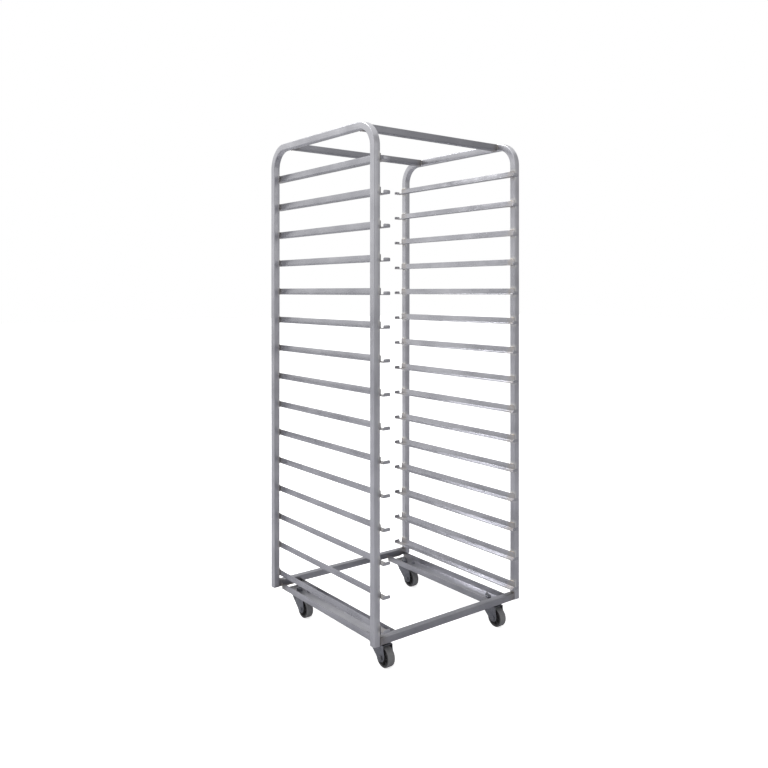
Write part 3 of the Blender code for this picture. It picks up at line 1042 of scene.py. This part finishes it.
def plate_bolts():
    """Four round heads under the plate, with washers and nuts inside the channel."""
    parts = []
    for x in (-PLATE_BOLT_X, PLATE_BOLT_X):
        for y in (-PLATE_BOLT_Y, PLATE_BOLT_Y):
            spot = SWIVEL + Vector((x, y, 0))
            parts.append(dome("head", spot + Vector((0, 0, PLATE_TOP - PLATE_SHEET)), 6 * MM,
                              3.2 * MM))
            parts.append(washer("washer", spot + Vector((0, 0, WEB_TOP + 0.7 * MM)), 7 * MM))
            parts.append(hex_head("nut", spot + Vector((0, 0, WEB_TOP + 3.6 * MM)), 10 * MM,
                                  4.4 * MM))
            parts.append(thread_end("thread", spot + Vector((0, 0, WEB_TOP + 6 * MM)), 3 * MM,
                                    6 * MM, 1 * MM))
    whole = join("plate_bolts_master", parts)
    smooth(whole)
    return whole


def king_bolt():
    """The swivel's own bolt: its head under the crown and its nut in the channel."""
    nut_height = 9.6 * MM
    head_height = 6 * MM
    spot = SWIVEL.copy()
    head_z = CROWN_BOTTOM - 0.3 * MM - head_height / 2
    rod = new_cylinder("rod", spot + Vector((0, 0, (head_z + WEB_TOP) / 2)), 6 * MM,
                       WEB_TOP - head_z, 32)
    parts = [rod, hex_head("head", spot + Vector((0, 0, head_z)), 19 * MM, head_height, -1)]
    parts.append(washer("washer", spot + Vector((0, 0, WEB_TOP + 1 * MM)), 12.5 * MM, 2 * MM))
    nut_z = WEB_TOP + 2 * MM + nut_height / 2
    parts.append(hex_head("nut", spot + Vector((0, 0, nut_z)), 19 * MM, nut_height))
    parts.append(thread_end("thread", spot + Vector((0, 0, nut_z + 3 * MM)), 5.9 * MM, 14 * MM,
                            1.75 * MM))
    whole = join("king_bolt_master", parts)
    smooth(whole)
    return whole


plate_master, bolts_master, king_master = caster_plate(), plate_bolts(), king_bolt()
for piece in (plate_master, bolts_master, king_master):
    print(piece.name, "faces", len(piece.data.polygons))

# %% [markdown]
# ## Fork
#
# The fork is pressed from one strip: a crown plate with a leg folded down on each side, each
# leg slanting back to the axle and ending in a round. The crown plate is laid first, its two
# long borders are pulled down and then pulled again to the axle, the end corners are bevelled
# until they meet in a half circle, and the folds are rounded before the sheet gets its
# thickness. A turned cup on the crown wraps the swivel race.


# %% Pressed fork
FORK_SHEET = 2.5 * MM
FORK_FOLD = 3.5 * MM
FORK_HALF = 20.5 * MM
FORK_BACK = 18 * MM
FORK_FRONT = 56 * MM
BOSS = 14 * MM
CROWN_SKIN_Z = CROWN_TOP - 0.3 * MM
CROWN_MIDDLE_Y = SWIVEL.y + (FORK_BACK - FORK_FRONT) / 2
SHOULDER_DROP = 12 * MM


def slant_leg(fork, x):
    """Pulls one border of the crown down, then towards the axle, and rounds its end."""
    pick(fork, "EDGE", lambda co: abs(co.x - x) < NEAR and co.z > CROWN_SKIN_Z - NEAR)
    pull((0, 0, -SHOULDER_DROP))
    pull((0, 0, -SHOULDER_DROP))
    down = Vector((0, AXLE.y, AXLE.z)) - Vector((0, CROWN_MIDDLE_Y, CROWN_SKIN_Z))
    down.normalize()
    across = Vector((0, -down.z, down.y))
    end = Vector((0, AXLE.y, AXLE.z)) + down * BOSS
    half_end = across * (BOSS * 0.998)
    mesh = bmesh.from_edit_mesh(fork.data)
    tips = sorted((v for v in mesh.verts if v.select), key=lambda v: v.co.y)
    tips[0].co = end - half_end if across.y > 0 else end + half_end
    tips[1].co = end + half_end if across.y > 0 else end - half_end
    for tip in tips:
        tip.co.x = x
    bmesh.update_edit_mesh(fork.data)
    bpy.ops.mesh.select_mode(type="VERT")
    bpy.ops.mesh.bevel(offset=BOSS * 0.99, segments=10, affect="VERTICES")
    clear_selection()


def pressed_fork():
    middle = (SWIVEL.x, CROWN_MIDDLE_Y, CROWN_SKIN_Z)
    fork = new_plane("fork_sheet", middle, 2 * FORK_HALF, FORK_BACK + FORK_FRONT)
    for side in (-1, 1):
        slant_leg(fork, SWIVEL.x + side * FORK_HALF)
    round_folds(fork, FORK_FOLD)
    tidy_normals(fork)
    crown = max(fork.data.polygons, key=lambda face: face.normal.z * face.normal.z * face.area)
    if crown.normal.z < 0:
        fork.data.flip_normals()
    thicken(fork, FORK_SHEET)
    soften(fork, 0.6 * MM, 2, 50)
    cup = [(28.2 * MM, 0), (29.6 * MM, 0.4 * MM), (30 * MM, -2.6 * MM), (28 * MM, -3 * MM),
           (12 * MM, -3 * MM), (8 * MM, -2.4 * MM), (8 * MM, 0), (12 * MM, -0.4 * MM)]
    race_cup = turned("race_cup", cup, (SWIVEL.x, SWIVEL.y, CROWN_TOP))
    whole = join("fork_master", [fork, race_cup])
    smooth(whole, 40)
    return whole


fork_master = pressed_fork()
print("fork faces", len(fork_master.data.polygons),
      "size", [round(c * 1000, 1) for c in fork_master.dimensions])

# %% [markdown]
# ## Axle bolt and wheel
#
# The wheel is moulded in one piece round a steel sleeve: a rounded tread, a thick rim, a
# thinner web with stiffening ribs on both faces, and a hub that stands a little proud. Its
# half section is spun round the axle, and one rib is bevelled and turned round the hub eight
# times on each face.


# %% Axle bolt
def axle_bolt():
    """Along X: drawn along Z at the origin with the fasteners' tools, then laid over."""
    face = FORK_HALF + 0.3 * MM
    rod = new_cylinder("rod", (0, 0, 0), 4.7 * MM, 2 * face, 32)
    parts = [rod]
    parts.append(washer("washer", (0, 0, face + 0.7 * MM), 9 * MM))
    parts.append(washer("washer", (0, 0, -face - 0.7 * MM), 9 * MM))
    parts.append(hex_head("head", (0, 0, face + 3.4 * MM), 15 * MM, 4 * MM))
    parts.append(hex_head("nut", (0, 0, -face - 3.2 * MM), 15 * MM, 3.6 * MM, -1))
    whole = join("axle_master", parts)
    turn = Matrix.Rotation(math.radians(90), 4, "Y")
    whole.data.transform(Matrix.Translation(AXLE) @ turn)
    smooth(whole)
    return whole


# %% Moulded wheel
SHOULDER_RADIUS = 4 * MM
SHOULDER_STEPS = 5
TREAD_DEPTH = 3 * MM
RIBS = 8
RIB_HALF = 1.1 * MM


def round_corner(corner, radius, start):
    """Points of a quarter round about a centre, from start degrees onwards."""
    points = []
    for i in range(SHOULDER_STEPS + 1):
        angle = math.radians(start - 90 * i / SHOULDER_STEPS)
        points.append((corner[0] + radius * math.cos(angle),
                       corner[1] + radius * math.sin(angle)))
    return points


def wheel_section():
    """The wheel's upper half section as points of (radius, height), and its mirror."""
    tread_half = 14 * MM
    rim = WHEEL_RADIUS - 9 * MM
    hub = 13 * MM
    web = 6 * MM
    top = [(5.2 * MM, HUB_HALF), (hub - 1 * MM, HUB_HALF), (hub, HUB_HALF - 1 * MM),
           (hub + 1 * MM, web + 1.5 * MM), (hub + 2.5 * MM, web), (rim - 2.5 * MM, web),
           (rim - 1 * MM, web + 1.5 * MM), (rim, tread_half - 0.8 * MM),
           (rim + 0.8 * MM, tread_half)]
    shoulder = round_corner((WHEEL_RADIUS - SHOULDER_RADIUS, tread_half - SHOULDER_RADIUS),
                            SHOULDER_RADIUS, 90)
    shoulder.append((WHEEL_RADIUS, 0.4 * MM))
    upper = top + shoulder
    return upper + [(radius, -height) for radius, height in reversed(upper)]


def wheel_ribs():
    ribs = []
    for face in (-1, 1):
        low, high = sorted((face * 5 * MM, face * 12.5 * MM))
        rib = new_box("rib", (11 * MM, -RIB_HALF, low), (27 * MM, RIB_HALF, high))
        soften(rib, 0.6 * MM, 2)
        for i in range(RIBS):
            ribs.append(copied(rib, "rib", Matrix.Rotation(math.radians(360 * i / RIBS), 4, "Z")))
        discard(rib)
    return ribs


def moulded_wheel():
    body = turned("wheel_body", wheel_section(), (0, 0, 0), steps=80)
    sleeve = turned("sleeve", [(4.9 * MM, HUB_HALF), (6.6 * MM, HUB_HALF), (6.6 * MM, -HUB_HALF),
                               (4.9 * MM, -HUB_HALF)], (0, 0, 0), steps=40)
    for piece, material in ((body, resin), (sleeve, zinc)):
        piece.data.materials.append(material)
    body.data.materials.append(tread)
    for face in body.data.polygons:
        reach = math.hypot(face.center.x, face.center.y)
        face.material_index = 1 if reach > WHEEL_RADIUS - TREAD_DEPTH else 0
    ribs = wheel_ribs()
    for rib in ribs:
        rib.data.materials.append(resin)
    whole = join("wheel_master", [body, sleeve] + ribs)
    whole.data.transform(Matrix.Translation(AXLE) @ Matrix.Rotation(math.radians(90), 4, "Y"))
    smooth(whole, 35)
    return whole


axle_master, wheel_master = axle_bolt(), moulded_wheel()
print("wheel faces", len(wheel_master.data.polygons), "axle faces", len(axle_master.data.polygons))

# %% Four casters
for end, y_side in ENDS.items():
    for word, side in SIDES.items():
        spot = f"{end}_{word}"
        low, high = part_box(f"{spot}_caster_plate")
        shift = Matrix.Translation((low + high) / 2 - (plate_low + plate_high) / 2)
        fork_body, wheel_body = f"{spot}_swivel_fork", f"{spot}_rolling_wheel"
        pieces = [
            (plate_master, "top_plate", "rack", ("caster_plate",)),
            (bolts_master, "plate_bolts", "rack", ()),
            (king_master, "swivel_bolt", "rack", ("king_bolt",)),
            (fork_master, "pressed_fork", fork_body, ("caster_fork",)),
            (axle_master, "wheel_bolt", fork_body, ("axle_bolt",)),
        ]
        for master, label, body, nodes in pieces:
            piece = copied(master, f"{spot}_{label}", shift)
            finish_piece(piece, zinc, body,
                         [f"{spot}_{node}" for node in nodes])
        wheel = copied(wheel_master, f"{spot}_moulded_wheel", shift)
        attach(wheel, wheel_body)
        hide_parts(f"{spot}_wheel")
for master in (plate_master, bolts_master, king_master, fork_master, axle_master, wheel_master):
    discard(master)
print("casters: 4")

# %% [markdown]
# ## Light and floor
#
# The floor and the room are seen as plain white. Steel shows what it reflects, so what the
# steel sees matters more than its own colour: the floor and the room are dimmer to the steel
# than to the camera, and the room is brightest at the left and behind, which brightens the
# sides of the uprights. One wide light hangs overhead, one washes the floor at the left
# rear, and a weak one fills in from the front.


# %% Floor
def floor_finish():
    finish = Finish("pale_floor", 0.9, 0.0)
    cloud = finish.noise(0.7, 2.0)
    tone = finish.blend(cloud, colour(0.88, 0.88, 0.88), colour(0.90, 0.90, 0.90))
    finish.shader.inputs["Emission Color"].default_value = colour(1.0, 1.0, 1.0)
    finish.shader.inputs["Emission Strength"].default_value = 0.72
    dim = finish.node("ShaderNodeBsdfDiffuse", {}, {"Color": colour(0.49, 0.49, 0.51)}, "BSDF")
    seen_directly = finish.node("ShaderNodeLightPath", {}, {}, "Is Camera Ray")
    lit = Sock(finish, finish.shader.outputs["BSDF"])
    mixed = finish.node("ShaderNodeMixShader", {}, {0: seen_directly, 1: dim, 2: lit}, "Shader")
    output = finish.nodes["Material Output"]
    finish.links.new(mixed.socket, output.inputs["Surface"])
    return finish.feed(Base_Color=tone)


clear_selection()
bpy.ops.mesh.primitive_plane_add(size=60, location=(0, 0, -0.0005))
floor = bpy.context.object
floor.name = "floor"
floor.data.materials.append(floor_finish())
print("floor", round(floor.dimensions.x), "m wide")


# %% Lights
def soft_light(name, place, aim, size, power):
    data = bpy.data.lights.new(name, "AREA")
    data.shape = "RECTANGLE"
    data.size, data.size_y = size
    data.energy = power
    light = bpy.data.objects.new(name, data)
    light.location = place
    light.rotation_euler = (Vector(aim) - Vector(place)).to_track_quat("-Z", "Y").to_euler()
    bpy.context.scene.collection.objects.link(light)


soft_light("overhead", (0.5, 0.5, 4.6), (0, 0, 0), (6, 6), 40)
soft_light("floor_wash", (-2.9, 3.5, 6.2), (-2.4, 3.0, 0), (3.0, 3.0), 280)
soft_light("front_fill", (1.6, -4.8, 2.6), (0, 0, 0.8), (2.5, 2.5), 8)

# %% The room
BRIGHT_SIDE = (-0.70, 0.62, 0.35)
ROOM_DIM, ROOM_BRIGHT = 0.44, 0.84

world = bpy.data.worlds.new("studio")
bpy.context.scene.world = world
world.use_nodes = True
sky = world.node_tree
background = sky.nodes["Background"]
background.inputs["Color"].default_value = colour(1.0, 1.0, 1.0)
direction = sky.nodes.new("ShaderNodeTexCoord")
dot = sky.nodes.new("ShaderNodeVectorMath")
dot.operation = "DOT_PRODUCT"
dot.inputs[1].default_value = BRIGHT_SIDE
sky.links.new(direction.outputs["Generated"], dot.inputs[0])
level = sky.nodes.new("ShaderNodeMapRange")
level.interpolation_type = "SMOOTHSTEP"
for socket, value in ((1, -0.6), (2, 0.9), (3, ROOM_DIM), (4, ROOM_BRIGHT)):
    level.inputs[socket].default_value = value
sky.links.new(dot.outputs["Value"], level.inputs[0])
rays = sky.nodes.new("ShaderNodeLightPath")
seen = sky.nodes.new("ShaderNodeMix")
seen.data_type = "FLOAT"
seen.inputs[3].default_value = 1.0
sky.links.new(rays.outputs["Is Camera Ray"], seen.inputs[0])
sky.links.new(level.outputs[0], seen.inputs[2])
sky.links.new(seen.outputs[0], background.inputs["Strength"])
bpy.context.scene.view_settings.view_transform = "Standard"
print("room strength", ROOM_DIM, "to", ROOM_BRIGHT)
